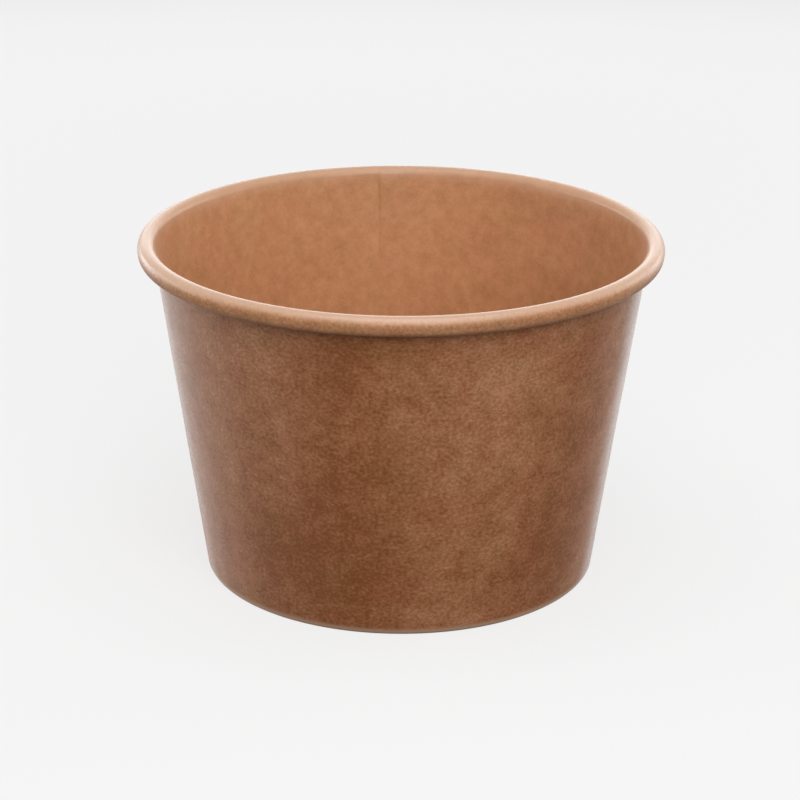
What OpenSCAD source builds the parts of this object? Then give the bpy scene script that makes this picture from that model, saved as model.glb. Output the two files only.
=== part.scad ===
// Paper ice cream tub: a cone of kraft board with a lapped side seam, a rolled rim and a hemmed foot,
// and a base disc whose skirt is sealed into that hem. Sizes are in millimetres. The tub stands on
// z = 0, with its axis on Z and its seam at the back, near +Y.

/* [Tub] */
// Outer diameter over the rolled rim
rim_d = 95; // [84:0.5:115]
// Height from the table to the top of the rim
height = 62.5; // [45:0.5:110]
// Outer diameter of the wall, taken down to the table
foot_d = 72; // [58:0.5:80]

/* [Board] */
// Thickness of the board of the side wall
wall_t = 0.4; // [0.3:0.05:0.6]
// Thickness of the board of the base
base_t = 0.4; // [0.3:0.05:0.6]
// Sealing film between two boards that are joined face to face
seal_film = 0.05; // [0.03:0.01:0.1]

/* [Rolled rim] */
// Inner radius of the fold at the top of the rim
rim_fold_r = 1.2; // [0.9:0.05:2]
// Straight drop of the rim from its top fold to its bottom fold
rim_drop = 0.5; // [0.3:0.1:2.5]
// Length of board that is tucked up inside the rim
rim_tuck = 0.6; // [0.3:0.1:0.8]
// Gap between the tucked end and the wall
tuck_gap = 0.15; // [0.1:0.05:0.4]

/* [Foot and base] */
// Height of the underside of the floor above the table
base_recess = 6; // [4:0.25:10]
// Inner radius of the fold between the floor and its skirt
base_fold_r = 0.6; // [0.4:0.1:1.2]
// Distance from the cut edge of the hem up to the fold of the base
hem_clear = 0.5; // [0.2:0.1:2]
// Depth to which the fold of the foot is pressed flat
foot_press = 0.12; // [0.05:0.01:0.2]

/* [Side seam] */
// Direction of the seam's edge inside the tub, in degrees from +X towards +Y
seam_dir = 95.6; // [0:0.1:360]
// Width of the lap, half way up the wall
lap_w = 8; // [5:0.5:14]
// Step that the pressed lap leaves on both faces of the wall
lap_step = 0.25; // [0.15:0.05:0.3]
// Width over which the outer layer climbs onto the inner one
lap_climb = 6; // [4:0.5:12]

/* [Hidden] */
$fa = 3;
$fs = 0.15;
outside_kraft = "#8b6044";
inside_kraft = "#b07652";

// Longer than any size of the tub, for the half planes and sectors that cut it
reach = 4 * (rim_d + height);

// Centre of the rim's top fold, as [radius, height]: the fold touches the rim's diameter and height
rim_outer_r = rim_fold_r + wall_t;
rim_centre = [rim_d / 2 - rim_outer_r, height - rim_outer_r];

// Lean of the wall: its outer face starts at the foot and ends as a tangent of the top fold
foot_to_rim = rim_centre - [foot_d / 2, 0];
lean = atan2(foot_to_rim.x, foot_to_rim.y) - asin(rim_fold_r / norm(foot_to_rim));

// Positions across the boards, square to the wall and measured outwards from the rim's centre
wall_outer = -rim_fold_r;
wall_inner = wall_outer - wall_t;
skirt_outer = wall_inner - seal_film;
skirt_inner = skirt_outer - base_t;
hem_outer = skirt_inner - seal_film;
hem_inner = hem_outer - wall_t;
foot_fold_r = (wall_inner - hem_outer) / 2;
foot_centre = (wall_inner + hem_outer) / 2;
base_outer_r = base_fold_r + base_t;
base_centre = skirt_inner - base_fold_r;
tuck_outer = wall_outer + tuck_gap;
tuck_fold_r = (rim_fold_r - tuck_outer - wall_t) / 2;
tuck_centre = rim_fold_r - tuck_fold_r;

// Lengths down the leaning wall, from the rim's centre to the folds of the base and of the foot
foot_fold_z = foot_fold_r + wall_t - foot_press;
base_fold_z = base_recess - base_fold_r;
foot_run = (rim_centre.y - foot_centre * sin(lean) - foot_fold_z) / cos(lean);
base_run = (rim_centre.y - base_centre * sin(lean) - base_fold_z) / cos(lean);
skirt_run = foot_run - base_run;

// Angles of the seam around the axis, in a frame where the outer layer starts to climb near +Y
mid_r = (rim_d + foot_d) / 4;
climb_angle = lap_climb / mid_r * 180 / PI;
lap_angle = lap_w / mid_r * 180 / PI;
inner_edge = 90 - climb_angle;
outer_edge = inner_edge - lap_angle;
climb_start = 90 + climb_angle / 3;
climb_shift = lap_step / sin(climb_angle);

// Sets a section that is drawn along an upright wall onto the leaning wall
module on_wall() {
    translate(rim_centre) rotate(-lean) children();
}

// Straight run of board of thickness t, from [x, y] up
module board_run(x, y, t, length) {
    translate([x, y]) square([t, length]);
}

// Half ring of board of thickness t around a fold of inner radius r, open below
module half_fold(r, t) {
    difference() {
        circle(r + t);
        circle(r);
        translate([-reach, -reach]) square([2 * reach, reach]);
    }
}

// Keeps what lies above the table, on one side of the axis
module above_table() {
    intersection() {
        children();
        square(reach);
    }
}

// Section of the side wall as one strip of board: hem, foot fold, wall, and the rim with its tucked end
module wall_section() {
    above_table() on_wall() {
        board_run(hem_inner, -foot_run, wall_t, skirt_run - hem_clear);
        translate([foot_centre, -foot_run]) mirror([0, 1]) half_fold(foot_fold_r, wall_t);
        board_run(wall_inner, -foot_run, wall_t, foot_run);
        half_fold(rim_fold_r, wall_t);
        board_run(rim_fold_r, -rim_drop, wall_t, rim_drop);
        translate([tuck_centre, -rim_drop]) mirror([0, 1]) half_fold(tuck_fold_r, wall_t);
        board_run(tuck_outer, -rim_drop, wall_t, rim_tuck);
    }
}

// Filled outline around the fold of the base, out to the faces of the floor and skirt at radius r
module base_outline(r) {
    circle(r);
    translate([-base_outer_r, -skirt_run]) square([base_outer_r + r, skirt_run]);
    rotate(lean) translate([-reach, 0]) square([reach, r]);
}

// Section of the base as one strip of board: skirt, fold and level floor
module base_section() {
    above_table() on_wall() translate([base_centre, -base_run]) difference() {
        base_outline(base_outer_r);
        base_outline(base_fold_r);
    }
}

// Band that follows the leaning wall: [from, to] across the board and along the wall, swept round
module wall_band(across, along, start = 0, angle = 360) {
    rotate_extrude(start = start, angle = angle) on_wall()
        translate([across[0], along[0]]) square([across[1] - across[0], along[1] - along[0]]);
}

// Outer layer of the lap: it climbs along a cone set off the axis, then follows the inner layer
module lap_layer() {
    intersection() {
        wall_band([wall_inner + wall_t / 2, wall_outer + lap_step], [-foot_run, -rim_drop],
            outer_edge, climb_start - outer_edge);
        translate([climb_shift, 0, 0])
            wall_band([wall_inner - 2 * wall_t, wall_outer], [-2 * foot_run, foot_run]);
    }
}

// Hollow that the climbing layer leaves inside the tub, beside the cut edge of the inner layer
module seam_hollow() {
    floor_run = base_run - base_outer_r;
    intersection() {
        translate([climb_shift, 0, 0])
            wall_band([wall_inner - rim_outer_r, wall_inner], [-floor_run, rim_outer_r]);
        rotate_extrude(start = inner_edge, angle = climb_start - inner_edge) square([reach, height]);
    }
}

module side_wall() {
    color(outside_kraft) rotate(seam_dir - inner_edge) difference() {
        union() {
            rotate_extrude() wall_section();
            lap_layer();
        }
        seam_hollow();
    }
}

module base_disc() {
    color(inside_kraft) rotate_extrude() base_section();
}

side_wall();
base_disc();
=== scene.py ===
"""Paper ice cream tub of kraft board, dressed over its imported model, in metres."""
from math import atan2, asin, cos, hypot, pi, radians, sin, tan

import bpy
from mathutils import Euler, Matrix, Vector, noise


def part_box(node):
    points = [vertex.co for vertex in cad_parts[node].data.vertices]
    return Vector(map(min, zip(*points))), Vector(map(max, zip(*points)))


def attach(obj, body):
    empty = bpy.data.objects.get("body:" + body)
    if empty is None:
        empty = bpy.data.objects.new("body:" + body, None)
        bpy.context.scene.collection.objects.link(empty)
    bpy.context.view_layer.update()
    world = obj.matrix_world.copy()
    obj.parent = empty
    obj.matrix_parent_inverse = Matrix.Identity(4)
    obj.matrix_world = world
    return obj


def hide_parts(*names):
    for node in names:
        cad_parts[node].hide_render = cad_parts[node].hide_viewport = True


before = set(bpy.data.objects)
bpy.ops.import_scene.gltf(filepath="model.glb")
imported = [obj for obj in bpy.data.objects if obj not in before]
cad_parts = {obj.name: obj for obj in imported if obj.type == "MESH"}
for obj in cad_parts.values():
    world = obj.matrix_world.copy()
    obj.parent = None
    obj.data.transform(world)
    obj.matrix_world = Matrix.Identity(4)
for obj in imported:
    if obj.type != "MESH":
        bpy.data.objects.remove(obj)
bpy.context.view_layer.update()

# Side wall: one fan-shaped blank of kraft board, wrapped into a cone and sealed in a lap at the back.
# Its top edge is rolled outwards into the rim, and its bottom edge is folded in under the skirt of the
# base as a hem, so that the tub stands on the fold.
MM = 0.001
wall_low, wall_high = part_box("side_wall")
rim_radius = (wall_high.x - wall_low.x) / 2
tub_height = wall_high.z
foot_radius = 36 * MM
board = 0.4 * MM
seal_film = 0.05 * MM

rim_fold = 1.2 * MM
rim_drop = 0.5 * MM
rim_tuck = 0.6 * MM
tuck_gap = 0.15 * MM
base_recess = 6 * MM
base_fold = 0.6 * MM
hem_clear = 0.5 * MM
foot_press = 0.12 * MM

seam_direction = radians(96.0)
lap_width = 8 * MM
lap_step = 0.25 * MM
lap_climb = 6 * MM
lap_bevel = 0.6 * MM
lap_burr = 1.4 * MM
burr_height = 0.06 * MM
seam_low_share = 0.12
seam_fades_from = 17 * MM
seam_fades_to = 3 * MM
wave_depth = 0.045 * MM
wave_length = 11 * MM
rim_stiffness = 0.7
crease = radians(40)

# The wall leans so that its outer face starts at the foot and meets the rim's fold as a tangent
rim_centre_r = rim_radius - rim_fold - board
rim_centre_z = tub_height - rim_fold - board
rise = rim_centre_r - foot_radius
lean = atan2(rise, rim_centre_z) - asin(rim_fold / hypot(rise, rim_centre_z))

# Middle lines of the boards, square to the wall and outwards from the centre of the rim's fold
wall_middle = -rim_fold - board / 2
skirt_middle = wall_middle - board - seal_film
hem_middle = skirt_middle - board - seal_film
foot_fold = (wall_middle - hem_middle - board) / 2
tuck_fold = (2 * rim_fold - board - tuck_gap) / 2

# Lengths down the leaning wall, from the rim's centre to the folds of the foot and of the base
base_centre = skirt_middle - board / 2 - base_fold
foot_fold_z = foot_fold + board - foot_press
foot_run = (rim_centre_z - skirt_middle * sin(lean) - foot_fold_z) / cos(lean)
base_run = (rim_centre_z - base_centre * sin(lean) - base_recess + base_fold) / cos(lean)
skirt_run = foot_run - base_run
hem_run = skirt_run - hem_clear


def fold(inner_radius, turn, parts):
    """A fold of the board, as the length, turn and parts of its middle line."""
    return (inner_radius + board / 2) * abs(turn), turn, parts


def lay_board(across, along, heading, bends):
    """Follows a strip of board through its runs and folds, beside an upright wall.
    Gives the place and heading of its middle line, and the length of board up to there."""
    length = 0.0
    line = [(across, along, heading, length)]
    for run, turn, parts in bends:
        half_turn = turn / parts / 2
        chord = run / parts
        if turn:
            chord *= sin(half_turn) / half_turn
        for _ in range(parts):
            heading += half_turn
            across += chord * cos(heading)
            along += chord * sin(heading)
            heading += half_turn
            length += run / parts
            line.append((across, along, heading, length))
    return line


wall_line = lay_board(hem_middle, hem_run - foot_run, -pi / 2, [
    (hem_run, 0, 5),
    fold(foot_fold, pi, 12),
    (foot_run, 0, 48),
    fold(rim_fold, -pi, 20),
    (rim_drop, 0, 2),
    fold(tuck_fold, -pi, 14),
    (rim_tuck, 0, 2),
])
wall_starts = hem_run + (foot_fold + board / 2) * pi
rim_starts = wall_starts + foot_run
floor_at = wall_starts + skirt_run + base_fold + board
bead_at = rim_starts - rim_drop
drop_at = rim_starts + (rim_fold + board / 2) * pi


def ease(value, start, end):
    """Rises smoothly from 0 at start to 1 at end."""
    share = min(max((value - start) / (end - start), 0.0), 1.0)
    return share * share * (3 - 2 * share)


# Angles round the seam, counted from the foot of the pressed edge that shows inside the tub
middle_radius = (rim_radius + foot_radius) / 2
climb_angle = lap_climb / middle_radius
lap_angle = lap_width / middle_radius
bevel_angle = lap_bevel / middle_radius
burr_angle = lap_burr / middle_radius
edge_angle = radians(0.01)


def columns_between(start, end, step):
    """Evenly spaced angles from start up to, but not at, end."""
    count = round((end - start) / step)
    return [start + (end - start) * i / count for i in range(count)]


outer_edge = 2 * pi - lap_angle
bevel_top = 2 * pi - bevel_angle
burr_ends = bevel_top - burr_angle
wall_columns = columns_between(0, climb_angle, radians(0.6))
wall_columns += columns_between(climb_angle, outer_edge - edge_angle, radians(0.95))
wall_columns += [outer_edge - edge_angle]
wall_columns += columns_between(outer_edge, burr_ends, radians(0.8))
wall_columns += columns_between(burr_ends, bevel_top, burr_angle / 5)
wall_columns += columns_between(bevel_top, 2 * pi, bevel_angle / 4)


def lap_offset(angle):
    """How far the outer layer of the lap stands out from the cone."""
    if angle >= outer_edge:
        return lap_step
    return lap_step * (1 - ease(angle, 0, climb_angle))


def seam_hollow(angle):
    """How far the inside lies back at the seam: the outer layer sinks to the pressed edge of the inner one,
    which is bevelled and stands up in a slight burr."""
    if angle < burr_ends:
        return lap_step * (1 - ease(angle, 0, climb_angle))
    burr = burr_height * ease(angle, burr_ends, bevel_top)
    return (lap_step + burr) * ease(angle, bevel_top, 2 * pi) - burr


def cockle(point, depth=wave_depth, wave=wave_length):
    """The slight waviness of board that has been coated and wrapped, as a broad and a fine wave."""
    broad = noise.noise(point / (3.1 * wave))
    fine = noise.noise(point / wave + Vector((7.3, 1.9, 4.2)))
    return depth * (1.2 * broad + fine)


def on_wall(across, along, angle):
    """A place beside an upright wall, set onto the leaning wall and turned round the axis."""
    radius = rim_centre_r + across * cos(lean) + along * sin(lean)
    height = rim_centre_z - across * sin(lean) + along * cos(lean)
    direction = seam_direction + angle
    return Vector((radius * cos(direction), radius * sin(direction), max(height, 0.0)))


def wall_point(step, inner_face, angle):
    """A point of one face of the side wall. The seam fades inside the tub from below the rim down to a low
    share of its step, and is rolled flat in the rim and in the foot."""
    across, along, heading, length = step
    depth = cockle(on_wall(across, along, angle)) * ease(length, wall_starts, wall_starts + 4 * MM)
    depth *= 1 - rim_stiffness * ease(length, bead_at - 2 * MM, rim_starts)
    if inner_face:
        depth -= board / 2
        shown = seam_low_share * ease(length, floor_at - 1 * MM, floor_at)
        fades_from, fades_to = rim_starts - seam_fades_from, rim_starts - seam_fades_to
        shown += (1 - seam_low_share) * ease(length, fades_from, fades_to)
        rolled = ease(length, rim_starts - 1.5 * MM, rim_starts + 1.5 * MM)
        depth += seam_hollow(angle) * shown * (1 - rolled)
    else:
        depth += board / 2
        shown = ease(length, wall_starts - foot_fold * pi, wall_starts)
        depth += lap_offset(angle) * shown * (1 - ease(length, bead_at - 1.2 * MM, bead_at))
    return on_wall(across + depth * sin(heading), along - depth * cos(heading), angle)


def from_apex(length):
    """Distance on the flat blank from the point of its fan, in millimetres, at this length of board."""
    return (foot_radius / sin(lean) + length - wall_starts) / MM


def flat_blank(length, angle):
    """The place on the flat blank, in millimetres: the sheet's grain runs along X, level at the front."""
    spread = (angle - pi) * sin(lean)
    return from_apex(length) * sin(spread), from_apex(length) * cos(spread)


def wrap_board(name, line, columns, point_at, blank_at, slot_at, materials):
    """A closed mesh of a strip of board that goes round the axis: its inner face, then its outer face.
    The map named blank holds the flat blank in millimetres, and OFBake spreads both faces over a square."""
    count = len(line)
    ring = [(step, True) for step in line] + [(step, False) for step in reversed(line)]
    points, faces, slots, blank_uv, bake_uv = [], [], [], [], []
    index = {}
    for c, angle in enumerate(columns):
        for r, (step, inner_face) in enumerate(ring):
            point = point_at(step, inner_face, angle)
            on_axis = hypot(point.x, point.y) < 1e-9
            key = (r, 0 if on_axis else c)
            if key not in index:
                index[key] = len(points)
                points.append(point)
            index[r, c] = index[key]
    for c, angle in enumerate(columns):
        after = (c + 1) % len(columns)
        next_angle = columns[after] + (2 * pi if after == 0 else 0)
        for r in range(len(ring)):
            above = (r + 1) % len(ring)
            corners = [(r, c, angle), (above, c, angle), (above, after, next_angle), (r, after, next_angle)]
            inner_face = r < count
            kept = {}
            for row, column, turn in corners:
                kept.setdefault(index[row, column], (row, turn))
            if len(kept) < 3:
                continue
            faces.append(list(kept))
            slots.append(slot_at(ring[r][0][3], inner_face))
            for row, turn in kept.values():
                blank_uv.extend(blank_at(ring[row][0][3], turn, angle, inner_face))
                row_share = (row if row or above else len(ring)) / len(ring)
                bake_uv.extend((turn / (2 * pi), row_share))
    mesh = bpy.data.meshes.new(name)
    mesh.from_pydata(points, [], faces)
    mesh.uv_layers.new(name="blank").data.foreach_set("uv", blank_uv)
    mesh.uv_layers.new(name="OFBake").data.foreach_set("uv", bake_uv)
    for material in materials:
        mesh.materials.append(material)
    mesh.polygons.foreach_set("material_index", slots)
    mesh.shade_smooth()
    mesh.set_sharp_from_angle(angle=crease)
    mesh.validate()
    piece = bpy.data.objects.new(name, mesh)
    bpy.context.scene.collection.objects.link(piece)
    return piece


def add_node(tree, kind, inputs, **settings):
    """Adds a shader node: settings are its options, and inputs are values or outputs of other nodes."""
    node = tree.nodes.new("ShaderNode" + kind)
    for option, choice in settings.items():
        setattr(node, option, choice)
    for socket, value in inputs.items():
        if isinstance(value, bpy.types.NodeSocket):
            tree.links.new(value, node.inputs[socket])
        else:
            node.inputs[socket].default_value = value
    return node


def ramp_between(tree, value, start, full, amount=1.0, smooth=True):
    """Rises from 0 where value is at start to the amount where it is at full."""
    return add_node(tree, "MapRange", {"Value": value, "From Min": start, "From Max": full, "To Max": amount},
                    interpolation_type="SMOOTHSTEP" if smooth else "LINEAR").outputs[0]


def colour_ramp(tree, value, stops):
    """Colours that follow value through stops, each a position and a colour."""
    node = add_node(tree, "ValToRGB", {"Fac": value})
    elements = node.color_ramp.elements
    for element, (position, colour) in zip(elements, (stops[0], stops[-1])):
        element.position = position
        element.color = (*colour, 1)
    for position, colour in stops[1:-1]:
        elements.new(position).color = (*colour, 1)
    return node.outputs["Color"]


def mix_colours(tree, share, first, second, blend="MIX"):
    """The second colour laid over a share of the first."""
    inputs = {"Factor": share, 6: first, 7: second}
    return add_node(tree, "Mix", inputs, data_type="RGBA", blend_type=blend).outputs[2]


def reckon(tree, operation, *values):
    """The result of one operation on values or outputs of other nodes."""
    return add_node(tree, "Math", dict(enumerate(values)), operation=operation).outputs[0]


def oval(tree, place, turn, length, width, core):
    """A soft-edged oval at the middle of place, turned off the grain: 1 over its core, 0 from its edge."""
    turned = add_node(tree, "VectorRotate", {"Vector": place, "Angle": turn}, rotation_type="Z_AXIS")
    ellipse = add_node(tree, "VectorMath", {0: turned.outputs[0], 1: (2 / length, 2 / width, 0.0)},
                       operation="MULTIPLY")
    away = add_node(tree, "VectorMath", {0: ellipse.outputs[0]}, operation="LENGTH")
    return ramp_between(tree, away.outputs["Value"], 1.0, core)


def fibre_flecks(tree, flat, per_mm, stretch, length, width, share, slant):
    """Short fibres, one in each cell of a scatter and shown in a share of the cells. The cells are stretched
    along the grain of the sheet, and each fibre is turned away from it by up to half the slant."""
    along = add_node(tree, "VectorMath", {0: flat, 1: (1 / stretch, 1.0, 1.0)}, operation="MULTIPLY")
    scatter = add_node(tree, "TexVoronoi", {"Vector": along.outputs[0], "Scale": per_mm},
                       voronoi_dimensions="2D")
    chance = add_node(tree, "SeparateColor", {"Color": scatter.outputs["Color"]})
    place = add_node(tree, "VectorMath", {0: along.outputs[0], 1: scatter.outputs["Position"]},
                     operation="SUBTRACT")
    place = add_node(tree, "VectorMath", {0: place.outputs[0], 1: (stretch, 1.0, 0.0)}, operation="MULTIPLY")
    turn = reckon(tree, "MULTIPLY_ADD", chance.outputs["Red"], slant, -slant / 2)
    fleck = oval(tree, place.outputs[0], turn, length, width, 0.3)
    shown = reckon(tree, "LESS_THAN", chance.outputs["Green"], share)
    return reckon(tree, "MULTIPLY", fleck, shown)


# Fibres of the board: cells per mm, stretch of the cells, length and width in mm, share of the cells that
# show one, slant off the grain, and how much lighter or darker they are than the pulp
fibre_kinds = (
    (1.6, 2.6, 1.5, 0.2, 0.65, 1.7, 0.16),
    (0.9, 3.6, 3.0, 0.2, 0.55, 1.3, 0.13),
    (0.75, 1.4, 0.8, 0.4, 0.45, 2 * pi, -0.2),
)
# Pale colour of the painted highlight on the rim's crest, and of the foot's edge where it is scuffed
highlight_and_scuff_colour = (0.6, 0.39, 0.265, 1)
cool_patch, warm_patch = (0.98, 1.015, 0.985), (1.02, 0.985, 1.015)


def board_tone(tree, blank, flat, squeeze, cloudy, felted, grainy, fibrous, marks_and_painted_shade):
    """How light the board is, from about 0 to 1: three sizes of cloudy pulp, fibres, single marks, and broad
    clouds of painted shade and painted light.
    """
    grain = add_node(tree, "VectorMath", {0: flat, 1: (squeeze, 1.0, 1.0)}, operation="MULTIPLY").outputs[0]
    tone = 0.5 - (cloudy + felted + grainy) / 2
    for per_mm, strength in ((0.13, cloudy), (0.4, felted), (1.8, grainy)):
        pulp = add_node(tree, "TexNoise", {"Vector": grain, "Scale": per_mm, "Detail": 3.0,
                                           "Roughness": 0.6}, noise_dimensions="2D")
        tone = reckon(tree, "MULTIPLY_ADD", pulp.outputs["Fac"], strength, tone)
    for *kind, strength in fibre_kinds:
        tone = reckon(tree, "MULTIPLY_ADD", fibre_flecks(tree, flat, *kind), strength * fibrous, tone)
    # Single marks such as a scratch, and broad clouds of painted shade and painted light
    for centre, turn, length, width, core, strength in marks_and_painted_shade:
        place = add_node(tree, "VectorMath", {0: blank, 1: centre}, operation="SUBTRACT").outputs[0]
        tone = reckon(tree, "MULTIPLY_ADD", oval(tree, place, turn, length, width, core), strength, tone)
    return tone


def highlight_and_scuff_share(tree, reach, painted_crest_highlight, scuffed):
    """Where the board is paler: a painted highlight over the rim's crest and the top of its bead, and the
    edge of the foot scuffed by handling.
    """
    def along(start, full, amount=1.0):
        return ramp_between(tree, reach, from_apex(start), from_apex(full), amount)

    # Painted highlight: the crest of the rim and the top of its bead are paler, ending on the way down its
    # outside
    crest_highlight = along(rim_starts - 2.0 * MM, rim_starts + 1.7 * MM, painted_crest_highlight)
    brow_highlight = along(rim_starts + 4.0 * MM, rim_starts + 3.0 * MM)
    foot = along(wall_starts + 1.0 * MM, wall_starts, scuffed)
    under = along(wall_starts - 1.8 * MM, wall_starts - 0.9 * MM)
    return reckon(tree, "MULTIPLY_ADD", crest_highlight, brow_highlight, reckon(tree, "MULTIPLY", foot, under))


def left_haze(tree, blank, reach):
    """The coating's haze on the wall: it grows to the left of the front and is gone before the seam."""
    across = add_node(tree, "SeparateXYZ", {"Vector": blank}).outputs["X"]
    grows = ramp_between(tree, across, -12.0, -60.0, 0.82, smooth=False)
    return reckon(tree, "MULTIPLY", grows, ramp_between(tree, across, -115.0, -80.0, smooth=False))


def crest_haze(tree, blank, reach):
    """The coating's haze on the rim: it covers the crest and ends on the way down its outside."""
    ends, full = from_apex(rim_starts + 3.9 * MM), from_apex(rim_starts + 2.9 * MM)
    return ramp_between(tree, reach, ends, full, 0.75, smooth=False)


def kraft_board(name, dark, middle, light, cloudy, felted, grainy, fibrous, roughness, gloss,
                glaze, glaze_from, glaze_full, shift, squeeze, marks_and_painted_shade=(), haze=None, painted_crest_highlight=0.0, scuffed=0.0,
                sheen=0.0, coat_roughness=0.2, coat_ior=1.6, coat_ends=None):
    """Unbleached kraft board: cloudy pulp with light and dark fibres pressed flat under a thin coating.
    Cloudy, felted, grainy and fibrous say how strongly each of these shows. Glaze is the coating that shines
    where it is seen at a glancing angle, and haze is where a share of it shines from everywhere. Shift is
    where on the sheet the piece is cut, and squeeze draws the pulp out along the grain. The marks are single
    spots on the blank and broad clouds of painted shade and painted light. The pale crest of the rim is a
    painted highlight, and scuffed says how pale the foot's edge is rubbed. The
    coating ends at the length of board coat_ends, or else it goes on."""
    material = bpy.data.materials.new(name)
    material.use_nodes = True
    tree = material.node_tree
    shader = tree.nodes["Principled BSDF"]
    blank = add_node(tree, "UVMap", {}, uv_map="blank").outputs["UV"]
    flat = add_node(tree, "VectorMath", {0: blank, 1: shift}).outputs[0]
    reach = add_node(tree, "VectorMath", {0: blank}, operation="LENGTH").outputs["Value"]

    tone = board_tone(tree, blank, flat, squeeze, cloudy, felted, grainy, fibrous, marks_and_painted_shade)
    pulp_colour = colour_ramp(tree, tone, ((0.1, dark), (0.5, middle), (0.9, light)))
    patch = add_node(tree, "TexNoise", {"Vector": flat, "Scale": 0.12, "Detail": 2.0},
                     noise_dimensions="2D")
    warmth = colour_ramp(tree, patch.outputs["Fac"], ((0.3, cool_patch), (0.7, warm_patch)))
    pulp_colour = mix_colours(tree, 1.0, pulp_colour, warmth, "MULTIPLY")
    # The pale crest of the rim is a painted highlight; the pale edge of the foot is wear
    colour = mix_colours(tree, highlight_and_scuff_share(tree, reach, painted_crest_highlight, scuffed), pulp_colour, highlight_and_scuff_colour)
    tree.links.new(colour, shader.inputs["Base Color"])

    polish = add_node(tree, "MapRange", {"Value": tone, "From Min": 0.2, "From Max": 0.8,
                                         "To Min": roughness + 0.05, "To Max": roughness - 0.05})
    tree.links.new(polish.outputs[0], shader.inputs["Roughness"])
    relief = add_node(tree, "Bump", {"Height": tone, "Strength": 0.25, "Distance": 0.05 * MM})
    tree.links.new(relief.outputs["Normal"], shader.inputs["Normal"])

    glance = add_node(tree, "LayerWeight", {"Blend": 0.5})
    shine = ramp_between(tree, glance.outputs["Facing"], glaze_from, glaze_full, glaze)
    if haze:
        hazy = reckon(tree, "MULTIPLY", haze(tree, blank, reach), glaze)
        shine = reckon(tree, "MAXIMUM", shine, hazy)
    if coat_ends:
        coated = ramp_between(tree, reach, from_apex(coat_ends + 0.7 * MM), from_apex(coat_ends - 0.7 * MM))
        shine = reckon(tree, "MULTIPLY", coated, shine)
    tree.links.new(shine, shader.inputs["Coat Weight"])
    for socket, value in (("Specular IOR Level", gloss), ("Coat Roughness", coat_roughness),
                          ("Coat IOR", coat_ior), ("Sheen Weight", sheen), ("Sheen Roughness", 0.3),
                          ("Sheen Tint", (1.0, 0.85, 0.75, 1))):
        shader.inputs[socket].default_value = value
    return material


# Clouds and spots on the flat blank in mm: centre, turn, width, height, core, and how much lighter or darker
# they are than the rest. On the outside the broad dark clouds are painted shade, in a band left of the front,
# low down and on the right, and the pale cloud at the upper front right is painted light; the small light
# spot is a scratch. On the inside the dark cloud below the rim on the right is painted shade, and the pale
# one under it is painted light.
outside_painted_shade_and_scratch = (
    ((-18.5, 265.0, 0.0), 0.0, 44.0, 70.0, 0.0, -0.24),
    ((-13.0, 288.0, 0.0), -0.045, 26.0, 110.0, 0.0, -0.18),
    ((-27.0, 267.0, 0.0), 0.0, 18.0, 24.0, 0.0, -0.18),
    ((-15.7, 307.0, 0.0), 0.0, 11.0, 26.0, 0.0, -0.22),
    ((28.0, 275.0, 0.0), 0.05, 26.0, 104.0, 0.0, -0.22),
    ((34.5, 287.0, 0.0), 0.12, 16.0, 84.0, 0.0, -0.12),
    ((20.5, 263.0, 0.0), 0.0, 24.0, 26.0, 0.0, -0.2),
    ((12.5, 300.0, 0.0), 0.0, 26.0, 50.0, 0.0, 0.16),
    ((-25.1, 282.8, 0.0), 0.08, 3.4, 0.5, 0.3, 0.3),
)
# Painted shade below the rim on the right of the inside, and painted light just under it
inside_painted_shade_and_light = (
    ((95.0, 298.0, 0.0), 0.307, 64.0, 20.0, 0.0, -0.2),
    ((79.0, 288.0, 0.0), 0.268, 36.0, 26.0, 0.0, 0.13),
)
inside_cut = (411.0, 137.0, 0.0)
outside_kraft = kraft_board(
    "outside_kraft", (0.273, 0.092, 0.031), (0.42, 0.172, 0.074), (0.577, 0.279, 0.15),
    cloudy=0.58, felted=0.58, grainy=1.15, fibrous=1.0, roughness=0.28, gloss=0.1,
    glaze=0.8, glaze_from=0.69, glaze_full=0.87, haze=left_haze, scuffed=0.8,
    shift=(0.0, 0.0, 0.0), squeeze=0.85, marks_and_painted_shade=outside_painted_shade_and_scratch)
inside_kraft = kraft_board(
    "inside_kraft", (0.38, 0.164, 0.072), (0.545, 0.263, 0.126), (0.68, 0.366, 0.201),
    cloudy=0.3, felted=0.5, grainy=0.28, fibrous=0.25, roughness=0.32, gloss=0.27,
    glaze=0.3, glaze_from=0.6, glaze_full=0.9, sheen=0.15, painted_crest_highlight=0.65,
    shift=inside_cut, squeeze=1.0, marks_and_painted_shade=inside_painted_shade_and_light)
rim_kraft = kraft_board(
    "rim_kraft", (0.31, 0.13, 0.058), (0.48, 0.225, 0.108), (0.64, 0.34, 0.18),
    cloudy=0.4, felted=0.4, grainy=0.9, fibrous=0.9, roughness=0.45, gloss=0.1,
    glaze=1.0, glaze_from=0.45, glaze_full=0.75, haze=crest_haze, painted_crest_highlight=0.65,
    coat_roughness=0.35, coat_ior=1.75, coat_ends=drop_at,
    shift=inside_cut, squeeze=1.0)
rim_finish_from = rim_starts + 1.1 * MM


def wall_blank(length, turn, angle, inner_face):
    """The outer layer of the lap is the start of the blank, so its outside follows on from there."""
    if not inner_face and angle >= outer_edge:
        turn -= 2 * pi
    return flat_blank(length, turn)


def wall_finish(length, inner_face):
    """The finish of the outside, of the inside, or of the inside where it is rolled out into the rim."""
    if not inner_face:
        return 0
    return 2 if length > rim_finish_from else 1


side_wall = wrap_board("side_wall_board", wall_line, wall_columns, wall_point, wall_blank, wall_finish,
                       [outside_kraft, inside_kraft, rim_kraft])
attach(side_wall, "root")
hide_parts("side_wall")

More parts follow.
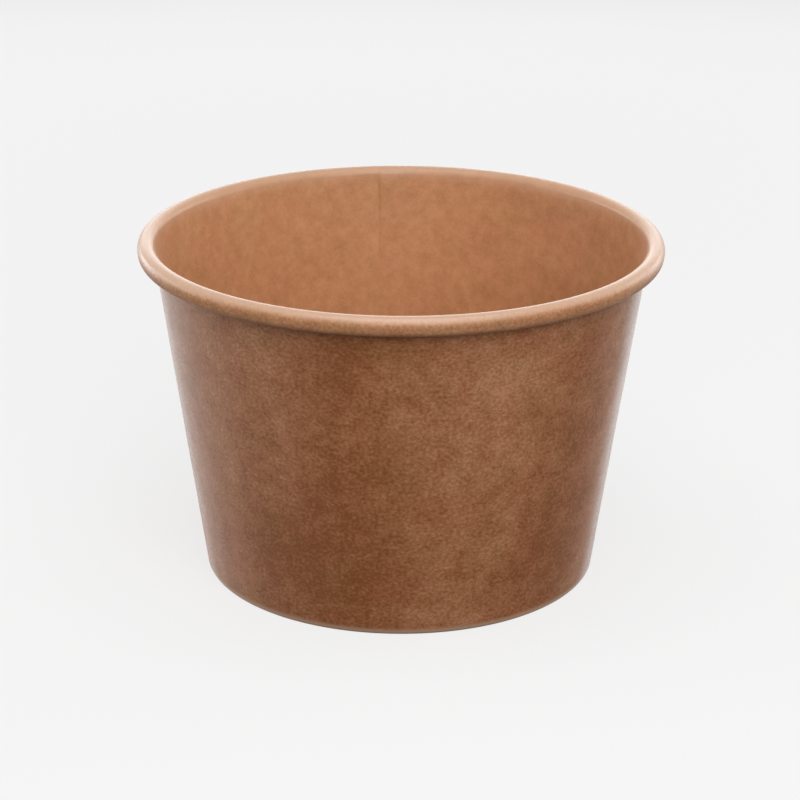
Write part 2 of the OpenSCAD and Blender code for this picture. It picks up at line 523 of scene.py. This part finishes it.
# Base: a disc of the same board, pressed into a shallow dish turned upside down. Its skirt hangs inside
# the wall and is heat-sealed between the wall and the hem, and its floor stands clear of the table.
floor_turn = pi / 2 + lean
fold_ends = base_centre * cos(lean) - base_run * sin(lean) + rim_centre_r
base_line = lay_board(skirt_middle, -foot_run, pi / 2, [
    (skirt_run, 0, 4),
    fold(base_fold, floor_turn, 10),
    (fold_ends, 0, 24),
])
base_columns = columns_between(0, 2 * pi, radians(1.5))
base_length = base_line[-1][3]
base_wave_depth = 0.06 * MM
base_wave_length = 9 * MM
disc_cut = 60


def base_point(step, inner_face, angle):
    """A point of the base: its inner face is the underside, and its outer face the floor of the tub."""
    across, along, heading, length = step
    depth = -board / 2 if inner_face else board / 2
    point = on_wall(across + depth * sin(heading), along - depth * cos(heading), angle)
    if length == base_length:
        point.x = point.y = 0.0
    middle = on_wall(across, along, angle)
    level = ease(length, skirt_run, skirt_run + 8 * MM)
    point.z += level * cockle(middle, base_wave_depth, base_wave_length)
    return point


def disc_blank(length, turn, angle, inner_face):
    """The place on the flat disc, in millimetres, where it is cut from the sheet beside the wall's blank."""
    from_centre = (base_length - length) / MM
    return disc_cut + from_centre * cos(turn), from_centre * sin(turn)


def disc_finish(length, inner_face):
    """The underside is bare outside board, and the floor of the tub is coated like the inside."""
    return 0 if inner_face else 1


base_disc = wrap_board("base_board_disc", base_line, base_columns, base_point, disc_blank, disc_finish,
                       [outside_kraft, inside_kraft])
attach(base_disc, "root")
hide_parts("base_disc")

# Table: a wide pale sheet under the tub, which keeps the tub's soft shadow. It is pale where it is seen or
# mirrored, partly by a glow of its own, and throws little light back up at the tub.
table_half = 3.0
sheet_thrown = (0.08, 0.08, 0.08, 1)
sheet_pale = (0.9, 0.9, 0.9, 1)
sheet_glow = (0.91, 0.91, 0.91, 1)
seen_glow = 0.8
mirrored_glow = 0.2
table_mesh = bpy.data.meshes.new("table")
table_mesh.from_pydata([(-table_half, -table_half, 0), (table_half, -table_half, 0),
                        (table_half, table_half, 0), (-table_half, table_half, 0)], [], [(0, 1, 2, 3)])
table = bpy.data.objects.new("table", table_mesh)
bpy.context.scene.collection.objects.link(table)


def seen_or_mirrored(tree, rays):
    """1 for the rays that show a surface to the camera, straight or in gloss, and 0 for those it lights."""
    shown = reckon(tree, "MAXIMUM", rays["Is Camera Ray"], rays["Is Glossy Ray"])
    return reckon(tree, "MAXIMUM", shown, rays["Is Transmission Ray"])


pale_sheet = bpy.data.materials.new("pale_sheet")
pale_sheet.use_nodes = True
pale_sheet.cycles.emission_sampling = "NONE"
sheet_tree = pale_sheet.node_tree
sheet_shader = sheet_tree.nodes["Principled BSDF"]
sheet_shader.inputs["Roughness"].default_value = 0.9
sheet_shader.inputs["Specular IOR Level"].default_value = 0.0
sheet_rays = add_node(sheet_tree, "LightPath", {}).outputs
sheet_colour = mix_colours(sheet_tree, seen_or_mirrored(sheet_tree, sheet_rays), sheet_thrown, sheet_pale)
sheet_tree.links.new(sheet_colour, sheet_shader.inputs["Base Color"])
sheet_light = add_node(sheet_tree, "Emission", {"Color": sheet_glow})
glow_share = reckon(sheet_tree, "MULTIPLY", sheet_rays["Is Glossy Ray"], mirrored_glow)
glow_share = reckon(sheet_tree, "MULTIPLY_ADD", sheet_rays["Is Camera Ray"], seen_glow, glow_share)
sheet_mix = add_node(sheet_tree, "MixShader", {0: glow_share, 1: sheet_shader.outputs[0],
                                               2: sheet_light.outputs[0]})
sheet_tree.links.new(sheet_mix.outputs[0], sheet_tree.nodes["Material Output"].inputs["Surface"])
table_mesh.materials.append(pale_sheet)

# Light: soft lamps in an even pale room. The main one stands in front and a little to the right, one hangs
# over the tub, two low strips light its sides, and a weak one behind it draws the rim's edge.
lamp_distance = 500 * MM
lamp_aim = Vector((0, 0, 40 * MM))
room_light = 0.24


def soft_lamp(name, azimuth, elevation, light, wide, tall):
    """A soft lamp that shines from this direction, in degrees: azimuth 0 is the camera's side. Light is what
    it throws on a surface that faces it, and wide and tall are how large it looks from the tub."""
    data = bpy.data.lights.new(name, "AREA")
    data.shape = "ELLIPSE"
    data.size = 2 * lamp_distance * tan(radians(wide / 2))
    data.size_y = 2 * lamp_distance * tan(radians(tall / 2))
    data.energy = light * pi * lamp_distance ** 2
    lamp = bpy.data.objects.new(name, data)
    turn = Euler((radians(90 - elevation), 0, radians(azimuth)))
    lamp.rotation_euler = turn
    lamp.location = lamp_aim + turn.to_matrix() @ Vector((0, 0, lamp_distance))
    lamp.visible_camera = False
    bpy.context.scene.collection.objects.link(lamp)


soft_lamp("key_lamp", 14, 33, 1.59, 40, 40)
soft_lamp("left_strip", -107, 7, 1.82, 70, 26)
soft_lamp("right_strip", 114, 11, 1.08, 56, 30)
soft_lamp("back_lamp", 180, 18, 0.54, 60, 30)
soft_lamp("top_lamp", 0, 73, 1.46, 50, 50)

room = bpy.data.worlds.new("room")
room.use_nodes = True
room_tree = room.node_tree
room_seen = seen_or_mirrored(room_tree, add_node(room_tree, "LightPath", {}).outputs)
room_shine = reckon(room_tree, "MULTIPLY_ADD", room_seen, 1 - room_light, room_light)
room_tree.nodes["Background"].inputs["Color"].default_value = (1, 1, 1, 1)
room_tree.links.new(room_shine, room_tree.nodes["Background"].inputs["Strength"])
bpy.context.scene.world = room
bpy.context.scene.view_settings.view_transform = "Standard"

# Camera: in front of the tub, about half a metre away, looking down at it so that its inside shows.
# The lens is long, and the frame is turned a little, as in the photograph.
eye_distance = 478.25 * MM
eye_elevation = radians(20.73)
eye_roll = radians(0.29)
aim = Vector((-0.067, 0, 30.486)) * MM
camera_data = bpy.data.cameras.new("camera")
camera_data.sensor_width = 36
camera_data.lens = 116.42
camera_data.clip_start = 0.01
camera = bpy.data.objects.new("camera", camera_data)
camera.location = aim + eye_distance * Vector((0, -cos(eye_elevation), sin(eye_elevation)))
upright = Euler((pi / 2 - eye_elevation, 0, 0)).to_matrix()
camera.rotation_euler = (upright @ Euler((0, 0, eye_roll)).to_matrix()).to_euler()
bpy.context.scene.collection.objects.link(camera)
bpy.context.scene.camera = camera
